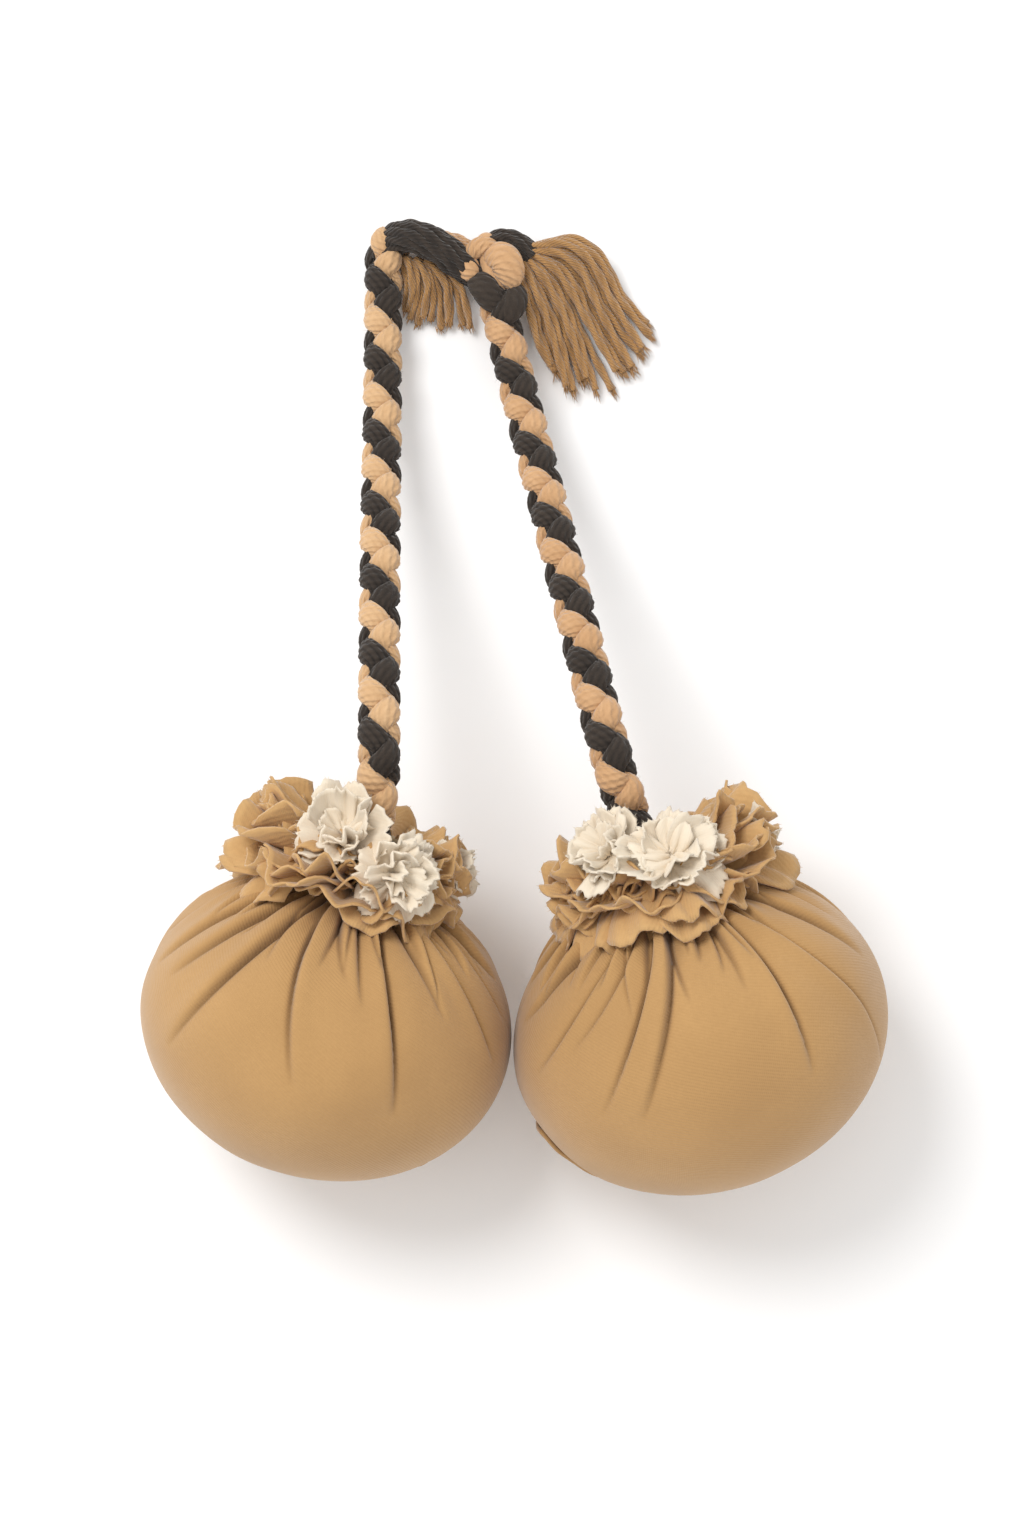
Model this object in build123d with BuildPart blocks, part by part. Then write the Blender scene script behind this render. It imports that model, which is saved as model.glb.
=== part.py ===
from build123d import *
import math
import os

# A pair of herbal compress balls joined by two braided wool cords that are tied together.
# Millimetres, +Z up, the pair lies on its side on the plane z = 0.
# The balls are towards -Y, the knot and its two tassels are towards +Y.

os.makedirs("parts", exist_ok=True)

# ---- whole layout -------------------------------------------------------------------------
X_SHIFT = -0.65          # these move the layout so that its bounding box is centred on X = Y = 0
Y_SHIFT = -19.5
NECK_RISE = 20.5         # degrees, how far each neck points above the table
CORD_R = 6.1             # radius of the round braided cord
NECK_BORE = 6.35         # bore of the gathered neck, for the cord
NECK_R = 9.3             # outside radius of the gathered neck
HINGE_T = 59.0           # distance from a ball's centre to the bend of its cord, along the neck
CLOTH = 1.2              # cover cloth, doubled over at the gathers
LINER = 1.0              # muslin liner
GAP = 0.25               # clearance between nested layers

# each ball: centre, turn of the neck from +Y towards +X, equator radius, height of the bottom,
# number of gathers, and which way round the fabric flowers sit
LEFT = dict(centre=(-48.5, -71.6, 44.0), yaw=14.0, a=48.8, b=40.0, gathers=17, mirror=1,
            hem=(-62.0, -44.0, -6.0, 13.0))
RIGHT = dict(centre=(49.3, -73.7, 44.8), yaw=-19.3, a=49.6, b=41.2, gathers=19, mirror=-1,
             hem=(-54.0, -14.0, 176.0, 11.0))

# corners of the two cord routes after the corner over the neck, down to the knot
LEFT_OVER = (-34.2, 2.9, 72.7)
RIGHT_OVER = (24.4, -1.2, 73.5)
LEFT_ROUTE = [(-35.0, 50.0, 46.5), (-35.4, 96.0, 14.6), (-35.5, 135.5, 6.4)]
RIGHT_ROUTE = [(13.4, 50.0, 46.5), (3.8, 94.0, 16.0), (-2.9, 122.5, 9.2)]
OVER_RADIUS = 40.0
MID_RADIUS = 120.0
LOW_RADIUS = 75.0
FLAT_GAP = 2.9           # from a ball hinge to the square end of the next stretch of cord
SWING_GAP = 4.3          # from the swing hinge to the knot's loop
LOOP_R = 4.9             # bundle of the two dark strands
LIGHT_R = 3.2            # bundle of the two light strands
YARN_R = 1.15            # one plied yarn of a tassel


def shift(p):
    return (p[0] + X_SHIFT, p[1] + Y_SHIFT, p[2])


def tube_volume(path_length):
    return math.pi * CORD_R**2 * path_length


def save(builder, label):
    builder.part.label = label
    export_step(builder.part, "parts/" + label + ".step")
    solids = builder.part.solids()
    box = builder.part.bounding_box()
    print(label, "solids", len(solids), "volume", round(builder.part.volume, 1),
          "box", [round(v, 1) for v in (box.min.X, box.min.Y, box.min.Z)],
          [round(v, 1) for v in (box.max.X, box.max.Y, box.max.Z)])


# ---- one ball -----------------------------------------------------------------------------
def ball_axes(data):
    rise = math.radians(NECK_RISE)
    yaw = math.radians(data["yaw"])
    neck = Vector(math.cos(rise) * math.sin(yaw), math.cos(rise) * math.cos(yaw), math.sin(rise))
    side = Vector(math.cos(yaw), -math.sin(yaw), 0)
    return Vector(*shift(data["centre"])), side, neck


def along(data, t):
    centre, side, neck = ball_axes(data)
    return centre + neck * t


def seat(data, t, turn=0.0):
    # plane square to the neck at distance t, its x direction turned about the neck
    centre, side, neck = ball_axes(data)
    up = side.cross(neck)
    a = math.radians(turn)
    return Plane(origin=along(data, t), x_dir=side * math.cos(a) + up * math.sin(a), z_dir=neck)


def petal_plane(origin, out, axis, lift, twist):
    # plane of a petal that leaves origin in the direction out, lifted towards axis, then twisted
    across = axis.cross(out)
    a = math.radians(lift)
    x = out * math.cos(a) + axis * math.sin(a)
    z = axis * math.cos(a) - out * math.sin(a)
    b = math.radians(twist)
    return Plane(origin=origin, x_dir=x, z_dir=z * math.cos(b) - across * math.sin(b))


def meridian(data, turn=0.0):
    # plane through the neck axis: local x is the radius, local y runs along the neck
    base = seat(data, 0, turn)
    return Plane(origin=base.origin, x_dir=base.x_dir, z_dir=-base.y_dir)


def wall_points(a, b, neck_r, top):
    # from the bottom pole over the equator to the foot of the neck
    points = []
    for i in range(15):
        angle = math.radians(-90 + 149 * i / 14)
        points.append((a * math.cos(angle), b * math.sin(angle)))
    points.append((neck_r + 5.2, top - 4.0))
    points.append((neck_r + 0.6, top - 0.6))
    return points


def ball(name, data):
    a = data["a"]
    b = data["b"]
    n = data["gathers"]
    centre, side, neck = ball_axes(data)
    axis = Axis(centre, neck)
    m = data["mirror"]

    # inside of the cover, closed at the neck bore
    with BuildPart() as cover_room:
        with BuildSketch(meridian(data)):
            with BuildLine():
                wall = wall_points(a - CLOTH, b - CLOTH, NECK_BORE, 41.5)
                Spline(wall, tangents=[(1, 0), (-0.35, 1)])
                Polyline(wall[-1], (NECK_BORE, 42.5), (NECK_BORE, 60), (0, 60), (0, wall[0][1]))
            make_face()
        revolve(axis=axis)
        split(bisect_by=Plane.XY.offset(CLOTH), keep=Keep.TOP)

    # cover with a gather ridge on every pleat, flattened where it rests
    with BuildPart() as cover:
        with BuildSketch(meridian(data)):
            with BuildLine():
                wall = wall_points(a, b, NECK_R, 43.0)
                Spline(wall, tangents=[(1, 0), (-0.35, 1)])
                Polyline(wall[-1], (NECK_R, 44.2), (NECK_R, 57.2), (0, 57.2), (0, wall[0][1]))
            make_face()
        revolve(axis=axis)
        for i in range(n):
            reach = (12, 26, 18, 33, 22)[i % 5]
            with BuildSketch(meridian(data, 360.0 * i / n + 4 * math.sin(5.0 * i))):
                with BuildLine():
                    foot = math.radians(62 - reach)
                    crown = math.radians(62)
                    p0 = (a * math.cos(foot) - 0.6, b * math.sin(foot))
                    mid = (foot + crown) / 2
                    p1 = (a * math.cos(mid) + 0.55, b * math.sin(mid) + 0.5)
                    p2 = (a * math.cos(crown) + 0.9, b * math.sin(crown) + 1.3)
                    p3 = (NECK_R + 1.3, 42.3)
                    Spline(p0, p1, p2, p3)
                    Polyline(p3, (NECK_R - 1.0, 42.3), (a * math.cos(crown) - 2, b * math.sin(crown) - 1),
                             (p0[0] - 0.8, p0[1]), p0)
                make_face()
            extrude(amount=1.05, both=True)
        split(bisect_by=Plane.XY, keep=Keep.TOP)
        add(cover_room.part, mode=Mode.SUBTRACT)
    save(cover, name + "_cover")

    # muslin liner: a second bag inside the cover, drawn up around the cord
    d0 = CLOTH + GAP
    d1 = d0 + LINER
    with BuildPart() as liner_room:
        with BuildSketch(meridian(data)):
            with BuildLine():
                wall = wall_points(a - d1, b - d1, NECK_BORE, 37.6)
                Spline(wall, tangents=[(1, 0), (-0.35, 1)])
                Polyline(wall[-1], (NECK_BORE, 38.4), (NECK_BORE, 60), (0, 60), (0, wall[0][1]))
            make_face()
        revolve(axis=axis)
        split(bisect_by=Plane.XY.offset(d1), keep=Keep.TOP)
    with BuildPart() as liner:
        with BuildSketch(meridian(data)):
            with BuildLine():
                wall = wall_points(a - d0, b - d0, NECK_BORE + 1.0, 38.8)
                Spline(wall, tangents=[(1, 0), (-0.35, 1)])
                Polyline(wall[-1], (NECK_BORE + 1.0, 39.3), (0, 39.3), (0, wall[0][1]))
            make_face()
        revolve(axis=axis)
        split(bisect_by=Plane.XY.offset(d0), keep=Keep.TOP)
        add(liner_room.part, mode=Mode.SUBTRACT)
    save(liner, name + "_liner")

    # the herbs, packed round the stopper knot at the end of the cord
    d2 = d1 + GAP
    with BuildPart() as herbs:
        with BuildSketch(meridian(data)):
            with BuildLine():
                wall = wall_points(a - d2, b - d2, NECK_BORE + 0.2, 36.4)
                Spline(wall, tangents=[(1, 0), (-0.35, 1)])
                Polyline(wall[-1], (0, wall[-1][1]), (0, wall[0][1]))
            make_face()
        revolve(axis=axis)
        split(bisect_by=Plane.XY.offset(d2), keep=Keep.TOP)
        with Locations(along(data, 15)):
            Sphere(10.6, mode=Mode.SUBTRACT)
        with Locations(seat(data, 36).location):
            Cylinder(NECK_BORE, 32, mode=Mode.SUBTRACT)
    save(herbs, name + "_herb_fill")

    with BuildPart() as stopper:
        with Locations(along(data, 15)):
            Sphere(10.4)
        split(bisect_by=seat(data, 23.9), keep=Keep.BOTTOM)
    save(stopper, name + "_stopper_knot")

    # cord inside the neck; it ends in a dome that the next stretch bends round
    with BuildPart() as root:
        with BuildSketch(seat(data, 24.0)):
            Circle(CORD_R)
        extrude(amount=HINGE_T - 24.0)
        with Locations(along(data, HINGE_T)):
            Sphere(CORD_R)
    save(root, name + "_cord_root")

    # string wound three times round the neck, over the gathers
    with BuildPart() as binding:
        for k in range(3):
            with BuildSketch(meridian(data)):
                with Locations((NECK_R + 1.0, 47.2 + 1.5 * k)):
                    Circle(0.9)
            revolve(axis=axis)
    save(binding, name + "_neck_binding")

    # fabric flowers: a cup of petals on its own axis, standing out of the ruffle
    flowers = {
        "front": (108 if m > 0 else 74, 17.5, 55.0, 34, 6.2, 7),
        "side": (52 if m > 0 else 120, 24.5, 46.5, 62, 5.4, 6),
        "back": (-28 if m > 0 else -150, 22.5, 52.0, 50, 4.2, 5),
    }
    rooms = []
    for key, (turn, radius, t, lean, petal, count) in flowers.items():
        spoke = seat(data, t, turn)
        lean_a = math.radians(lean)
        out = spoke.x_dir * math.sin(lean_a) + spoke.z_dir * math.cos(lean_a)
        head = Plane(origin=spoke.origin + spoke.x_dir * radius, x_dir=spoke.y_dir, z_dir=out)
        with BuildPart() as flower:
            with BuildSketch(head):
                Circle(petal * 0.66)
            extrude(amount=3.0)
            for i in range(count):
                angle = 2 * math.pi * i / count
                spread = head.x_dir * math.cos(angle) + head.y_dir * math.sin(angle)
                root = head.origin + head.z_dir * 0.9
                with BuildSketch(petal_plane(root, spread, head.z_dir, 26 + 14 * (i % 2), 12)):
                    with Locations((petal * 0.85, 0)):
                        Ellipse(petal * 0.85, petal * 0.62)
                extrude(amount=0.8)
        save(flower, name + "_rosette_" + key)
        rooms.append((head.offset(2.4).origin, petal * 1.95))

    # three ruffle layers, each a ring of overlapping petals cut from one strip
    layers = [
        ("ruffle_lower", 44.4, 33.0, 9.6, 12, -8.0, 10.0, 0.0),
        ("ruffle_middle", 51.4, 31.5, 8.8, 12, 4.0, -10.0, 14.0),
        ("ruffle_upper", 55.4, 26.5, 7.6, 11, 24.0, 10.0, 5.0),
    ]
    for label, t, reach, petal, count, lift, twist, phase in layers:
        with BuildPart() as ruffle:
            with BuildSketch(seat(data, t)):
                Circle(NECK_R + 3.6)
                Circle(NECK_R + GAP, mode=Mode.SUBTRACT)
            extrude(amount=1.5)
            for i in range(count):
                spoke = seat(data, t + 0.3, phase + 360.0 * i / count)
                rim = spoke.origin + spoke.x_dir * (NECK_R + 1.2)
                leaf = petal_plane(rim, spoke.x_dir, spoke.z_dir, lift + 3 * (i % 2), twist)
                long = reach - NECK_R - 1.2 - 1.6 * ((i * 7) % 3)
                with BuildSketch(leaf):
                    with BuildLine():
                        Polyline((0, 2.2), (0, -2.2), (long * 0.45, -petal * 0.62))
                        Spline((long * 0.45, -petal * 0.62), (long * 0.9, -petal * 0.42),
                               (long * 0.93, 0), (long, petal * 0.35), (long * 0.45, petal * 0.62))
                        Line((long * 0.45, petal * 0.62), (0, 2.2))
                    make_face()
                extrude(amount=0.9)
            for origin, radius in rooms:
                with Locations(origin):
                    Sphere(radius, mode=Mode.SUBTRACT)
            with Locations(seat(data, 40).location):
                Cylinder(NECK_R + GAP, 60, mode=Mode.SUBTRACT)
        largest = max(ruffle.part.solids(), key=lambda s: s.volume)
        with BuildPart() as kept:
            add(largest)
        save(kept, name + "_" + label)

    # folded hem of the cover cloth, a strip running up the wall from under the ball
    low, high, turn, width = data["hem"]
    with BuildPart() as hem:
        with BuildSketch(meridian(data, turn)):
            inner = []
            outer = []
            for i in range(7):
                angle = math.radians(low + (high - low) * i / 6)
                inner.append(((a + 0.15) * math.cos(angle), (b + 0.15) * math.sin(angle)))
                outer.append(((a + 1.0) * math.cos(angle), (b + 1.0) * math.sin(angle)))
            with BuildLine():
                Spline(inner)
                Line(inner[-1], outer[-1])
                Spline(outer)
                Line(outer[0], inner[0])
            make_face()
        revolve(axis=axis, revolution_arc=width)
        split(bisect_by=Plane.XY.offset(0.3), keep=Keep.TOP)
    save(hem, name + "_hem")


# ---- cords --------------------------------------------------------------------------------
def cord_stretch(label, data, over, route, domed):
    start = along(data, HINGE_T + FLAT_GAP)
    corners = [start, Vector(*shift(over))] + [Vector(*shift(p)) for p in route]
    with BuildPart() as stretch:
        with BuildLine() as path:
            FilletPolyline(*corners, radius=[OVER_RADIUS, MID_RADIUS, LOW_RADIUS])
        with BuildSketch(Plane(origin=path.wires()[0] @ 0, z_dir=path.wires()[0] % 0)):
            Circle(CORD_R)
        sweep(path=path.wires()[0])
        if domed:
            with Locations(corners[-1]):
                Sphere(CORD_R)
        with Locations(along(data, HINGE_T)):
            Sphere(CORD_R + 0.3, mode=Mode.SUBTRACT)
    print(label, "path length", round(path.wires()[0].length, 1), "tube volume",
          round(tube_volume(path.wires()[0].length), 1))
    save(stretch, label)


# ---- knot and tassels ---------------------------------------------------------------------
def bundle(label, corners, radii, radius, socket=None):
    with BuildPart() as piece:
        with BuildLine() as path:
            FilletPolyline(*[Vector(*shift(p)) for p in corners], radius=radii)
        with BuildSketch(Plane(origin=path.wires()[0] @ 0, z_dir=path.wires()[0] % 0)):
            Circle(radius)
        sweep(path=path.wires()[0])
        with Locations(path.wires()[0] @ 1):
            Sphere(radius)
        if socket is None:
            with Locations(path.wires()[0] @ 0):
                Sphere(radius)
        else:
            with Locations(shift(socket)):
                Sphere(CORD_R + 0.3, mode=Mode.SUBTRACT)
    save(piece, label)


def wrap(label, centre, heading, ring_r, strand_r):
    with BuildPart() as piece:
        a = math.radians(heading)
        with Locations(Plane(origin=shift(centre), z_dir=(math.sin(a), math.cos(a), 0)).location):
            Torus(ring_r, strand_r)
    save(piece, label)


def blend_points(ends, u):
    # point at share u along a list of points
    x = u * (len(ends) - 1)
    i = min(int(x), len(ends) - 2)
    f = x - i
    return tuple(p + (q - p) * f for p, q in zip(ends[i], ends[i + 1]))


cord_stretch("left_cord", LEFT, LEFT_OVER, LEFT_ROUTE, True)
cord_stretch("right_cord", RIGHT, RIGHT_OVER, RIGHT_ROUTE, False)

swing = LEFT_ROUTE[-1]
bundle("knot_loop_dark",
       [(swing[0], swing[1] + SWING_GAP, swing[2]), (-34.8, 149.0, 9.0), (-24.5, 147.6, 15.5),
        (-12.5, 139.0, 14.0)], [6.0, 10.0], LOOP_R, socket=swing)
bundle("knot_loop_light", [(-29.5, 152.7, 4.3), (-19.5, 152.9, 5.6), (-11.5, 147.7, 7.2)], [9.0], LIGHT_R)
wrap("knot_wrap_light", (-6.0, 138.7, 11.5), -12, 7.3, 3.7)
wrap("knot_wrap_dark", (-4.1, 129.1, 10.4), -12, 6.6, 3.3)
bundle("right_cord_end", [(-3.0, 123.6, 9.6), (-4.0, 129.0, 10.5), (-6.1, 139.0, 11.4), (-7.0, 144.0, 11.6)],
       [20.0, 20.0], 2.9)
bundle("tassel_root_dark", [(-7.6, 147.2, 9.5), (-1.0, 148.6, 12.3), (5.2, 144.6, 12.0)], [8.0], 4.5)

# right tassel: a brush that leaves the knot to the right, spreads and falls flat on the table
BRUSH = [((7.5, 143.2, 11.9), (0.84, -0.54, -0.04), 3.9, 3.9), ((18.5, 140.0, 9.0), (0.85, -0.52, -0.1), 8.4, 5.6),
         ((24.5, 126.5, 4.9), (0.22, -0.97, -0.12), 14.6, 4.4), ((22.0, 115.0, 2.7), (-0.05, -1.0, -0.05), 15.4, 2.2),
         ((21.5, 107.0, 1.6), (-0.05, -1.0, 0.0), 11.0, 1.2)]
with BuildPart() as brush:
    for spot, heading, half_width, half_height in BRUSH:
        ahead = Vector(*heading)
        with BuildSketch(Plane(origin=shift(spot), x_dir=ahead.cross(Vector(0, 0, 1)), z_dir=ahead)):
            Ellipse(half_width, half_height)
    loft()
    with Locations(shift((5.2, 144.6, 12.0))):
        Sphere(4.75, mode=Mode.SUBTRACT)
save(brush, "right_tassel")

LEFT_ENDS = [(-29.6, 129.5, 1.5), (-26.5, 124.0, 1.5), (-20.8, 122.9, 1.5), (-13.0, 122.9, 1.5)]
left_strands = []
for i in range(10):
    u = i / 9
    start = (-26.5 + 8.6 * u, 139.6, 4.6 + 0.8 * math.cos(2.0 * i))
    fall = blend_points(LEFT_ENDS, u)
    low = (start[0] - 2.0 + 3.6 * u, 132.2, 3.0 + 0.9 * math.sin(2.6 * i))
    left_strands.append([start, low, fall])
with BuildPart() as bar:
    with BuildLine() as spine:
        Line(shift((-27.5, 140.6, 4.8)), shift((-17.5, 140.6, 4.8)))
    with BuildSketch(Plane(origin=spine.wires()[0] @ 0, z_dir=spine.wires()[0] % 0)):
        Circle(2.4)
    sweep(path=spine.wires()[0])
    for points in left_strands:
        with BuildLine() as path:
            Spline(*[Vector(*shift(p)) for p in points])
        with BuildSketch(Plane(origin=path.wires()[0] @ 0, z_dir=path.wires()[0] % 0)):
            Circle(YARN_R)
        sweep(path=path.wires()[0])
save(bar, "left_tassel")

# white thread showing on the right ball's hem
stitch_axes = meridian(RIGHT, 186)
with BuildPart() as stitch:
    angle = math.radians(-39)
    spot = stitch_axes.from_local_coords(((RIGHT["a"] + 1.5) * math.cos(angle),
                                          (RIGHT["b"] + 1.5) * math.sin(angle), 0))
    with BuildSketch(Plane(origin=spot, x_dir=stitch_axes.z_dir, z_dir=stitch_axes.y_dir)):
        Circle(0.45)
    extrude(amount=1.3, both=True)
save(stitch, "right_hem_stitch")

ball("left", LEFT)
ball("right", RIGHT)
print("cord radius", CORD_R, "loop", LOOP_R, "light", LIGHT_R, "yarn", YARN_R)
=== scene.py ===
import bpy
import math
import numpy as np
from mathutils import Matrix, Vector


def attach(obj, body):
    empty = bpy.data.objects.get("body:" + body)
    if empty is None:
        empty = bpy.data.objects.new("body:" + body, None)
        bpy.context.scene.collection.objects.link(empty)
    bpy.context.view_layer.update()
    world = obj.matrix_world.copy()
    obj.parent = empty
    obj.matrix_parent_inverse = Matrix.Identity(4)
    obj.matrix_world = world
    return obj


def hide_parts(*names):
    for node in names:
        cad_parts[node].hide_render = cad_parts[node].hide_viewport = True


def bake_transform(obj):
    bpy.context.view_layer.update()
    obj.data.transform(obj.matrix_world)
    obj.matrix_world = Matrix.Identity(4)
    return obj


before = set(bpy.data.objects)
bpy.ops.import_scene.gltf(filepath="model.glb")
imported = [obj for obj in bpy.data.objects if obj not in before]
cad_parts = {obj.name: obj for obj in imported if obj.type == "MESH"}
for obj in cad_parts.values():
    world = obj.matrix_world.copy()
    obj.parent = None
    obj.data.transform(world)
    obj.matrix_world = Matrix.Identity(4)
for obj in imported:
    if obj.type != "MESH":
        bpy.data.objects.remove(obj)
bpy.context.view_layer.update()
MM = 0.001

# ---- camera: looking down on the pair as it lies on the table ------------------------------
TARGET = Vector((-0.00065, -0.0195, 0.0))
RISE = math.radians(84)
DISTANCE = 1.17
camera = bpy.data.objects.new("camera", bpy.data.cameras.new("camera"))
bpy.context.scene.collection.objects.link(camera)
camera.data.lens = 100
camera.location = TARGET + DISTANCE * Vector((0, -math.cos(RISE), math.sin(RISE)))
camera.rotation_euler = (math.radians(90) - RISE, 0, 0)
camera.data.clip_start = 0.05
bpy.context.scene.camera = camera

# ---- layout, repeated from the CAD in millimetres ------------------------------------------
NECK_RISE = 20.5
LEFT = dict(name="left", body="left_ball", centre=(-49.15, -91.1, 44.0), yaw=14.0, a=48.8, b=40.0)
RIGHT = dict(name="right", body="right_ball", centre=(48.65, -93.2, 44.8), yaw=-19.3, a=49.6, b=41.2)


def axes(data):
    rise = math.radians(NECK_RISE)
    yaw = math.radians(data["yaw"])
    neck = np.array([math.cos(rise) * math.sin(yaw), math.cos(rise) * math.cos(yaw), math.sin(rise)])
    side = np.array([math.cos(yaw), -math.sin(yaw), 0.0])
    return np.array(data["centre"], float), side, np.cross(side, neck), neck


def along(data, t):
    centre, side, up, neck = axes(data)
    return centre + neck * t


# ---- mesh helpers --------------------------------------------------------------------------
def unit(v):
    v = np.asarray(v, float)
    return v / np.maximum(np.linalg.norm(v, axis=-1, keepdims=True), 1e-12)


class Mesh:
    # collects vertices (mm), quads and triangles, one UV pair (mm) and one amount of painted shade per vertex
    def __init__(self):
        self.v, self.f, self.uv, self.tone, self.n = [], [], [], [], 0

    def add(self, v, f, uv=None, tone=None):
        v = np.asarray(v, float).reshape(-1, 3)
        self.v.append(v)
        self.f += [tuple(int(i) + self.n for i in q) for q in f]
        self.uv.append(np.zeros((len(v), 2)) if uv is None else np.asarray(uv, float).reshape(-1, 2))
        tone = 0.0 if tone is None else np.asarray(tone, float).ravel()
        self.tone.append(np.broadcast_to(tone, (len(v),)))
        self.n += len(v)

    def build(self, name, materials, smooth=True):
        v = np.concatenate(self.v) * MM
        mesh = bpy.data.meshes.new(name)
        mesh.from_pydata(v.tolist(), [], self.f)
        uv = np.concatenate(self.uv) * MM
        layer = mesh.uv_layers.new(name="UVMap")
        loops = np.zeros(len(mesh.loops), int)
        mesh.loops.foreach_get("vertex_index", loops)
        layer.data.foreach_set("uv", uv[loops].astype(np.float32).ravel())
        attribute = mesh.attributes.new("tone", "FLOAT", "POINT")
        attribute.data.foreach_set("value", np.concatenate(self.tone).astype(np.float32))
        for m in materials:
            mesh.materials.append(m)
        mesh.update()
        if smooth:
            mesh.shade_smooth()
        obj = bpy.data.objects.new(name, mesh)
        bpy.context.scene.collection.objects.link(obj)
        return obj


def grid_faces(rows, cols, wrap):
    out = []
    last = cols if wrap else cols - 1
    for i in range(rows - 1):
        for j in range(last):
            k = (j + 1) % cols
            out.append((i * cols + j, i * cols + k, (i + 1) * cols + k, (i + 1) * cols + j))
    return out


def solidify(obj, thickness):
    modifier = obj.modifiers.new("thickness", "SOLIDIFY")
    modifier.thickness = thickness
    modifier.offset = 0
    bpy.context.view_layer.update()
    done = bpy.data.meshes.new_from_object(obj.evaluated_get(bpy.context.evaluated_depsgraph_get()))
    obj.modifiers.clear()
    obj.data = done
    done.shade_smooth()
    return obj


def nurbs_points(points, per_span=24):
    # points (mm) on a NURBS spline with these control points
    curve = bpy.data.curves.new("route", "CURVE")
    curve.dimensions = "3D"
    spline = curve.splines.new("NURBS")
    spline.points.add(len(points) - 1)
    for p, q in zip(spline.points, points):
        p.co = (q[0] * MM, q[1] * MM, q[2] * MM, 1)
    spline.order_u = 3
    spline.use_endpoint_u = True
    curve.resolution_u = per_span
    holder = bpy.data.objects.new("route", curve)
    bpy.context.scene.collection.objects.link(holder)
    mesh = bpy.data.meshes.new_from_object(holder)
    got = np.array([v.co for v in mesh.vertices]) / MM
    bpy.data.objects.remove(holder)
    bpy.data.curves.remove(curve)
    bpy.data.meshes.remove(mesh)
    return got


def resample(points, step):
    points = np.asarray(points, float)
    lengths = np.concatenate([[0], np.cumsum(np.linalg.norm(np.diff(points, axis=0), axis=1))])
    count = max(int(round(lengths[-1] / step)), 2) + 1
    s = np.linspace(0, lengths[-1], count)
    return np.stack([np.interp(s, lengths, points[:, k]) for k in range(3)], 1), s


def frames(points):
    # two directions square to the line: level with the table, and upward
    tangent = unit(np.gradient(points, axis=0))
    right = unit(np.cross(tangent, (0.0, 0.0, 1.0)))
    return right, np.cross(right, tangent)


def carried_frames(points, first):
    # two directions square to the line, carried along it without twisting
    tangent = unit(np.gradient(points, axis=0))
    e1 = np.zeros_like(points)
    ref = np.asarray(first, float)
    for i in range(len(points)):
        ref = ref - tangent[i] * (ref @ tangent[i])
        ref = ref / max(np.linalg.norm(ref), 1e-9)
        e1[i] = ref
    return e1, np.cross(tangent, e1)


def arc_lengths(points):
    return np.concatenate([[0], np.cumsum(np.linalg.norm(np.diff(points, axis=0), axis=1))])


def tube(mesh, points, e1, e2, r1, r2, sides, run, tone):
    # a capped tube round the points: r1 and r2 are its radii along e1 and e2, run is its length so far, and
    # the last argument is the painted shade of each point
    rows = len(points)
    # the seam of the UVs runs along the underside
    angle = np.linspace(math.pi, 3 * math.pi, sides, endpoint=False)
    first = e1[:, None] * (r1 * np.cos(angle))[..., None]
    second = e2[:, None] * (r2 * np.sin(angle))[..., None]
    grid = points[:, None] + first + second
    uv = np.stack(np.broadcast_arrays(angle[None, :] * 2.0, run[:, None]), -1)
    shade = np.broadcast_to(tone, (rows, sides))
    faces = grid_faces(rows, sides, True)
    n = rows * sides
    for j in range(sides):
        k = (j + 1) % sides
        faces.append((n, k, j))
        faces.append((n + 1, n - sides + j, n - sides + k))
    v = np.concatenate([grid.reshape(-1, 3), points[:1], points[-1:]])
    uv = np.concatenate([uv.reshape(-1, 2), [[0, run[0]], [0, run[-1]]]])
    shade = np.concatenate([shade.ravel(), shade[0, :1], shade[-1, :1]])
    mesh.add(v, faces, uv, shade)


def fibre(mesh, start, direction, length, rng, radius, bend):
    # one loose fibre: a bent three-sided spike
    direction = unit(direction)
    sag = unit(rng.normal(size=3)) * length * bend
    p = np.array([start, start + direction * length * 0.5 + sag * 0.35, start + direction * length + sag])
    a = unit(np.cross(direction, rng.normal(size=3)))
    b = np.cross(direction, a)
    ring = [a, -0.5 * a + 0.866 * b, -0.5 * a - 0.866 * b]
    v = [p[0] + r * radius for r in ring] + [p[1] + r * radius * 0.8 for r in ring] + [p[2]]
    f = [(0, 1, 4, 3), (1, 2, 5, 4), (2, 0, 3, 5), (3, 4, 6), (4, 5, 6), (5, 3, 6)]
    mesh.add(v, f)


# ---- materials -----------------------------------------------------------------------------
# the light keeps the white table white, so every surface is a little darker than it looks
SURFACE_SHARE = 0.74


def lin(c):
    # an sRGB colour, 0 to 255, as the shader's linear colour
    shares = [v / 255 for v in c]
    linear = [v / 12.92 if v <= 0.04045 else ((v + 0.055) / 1.055) ** 2.4 for v in shares]
    return (*(SURFACE_SHARE * v for v in linear), 1.0)


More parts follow.
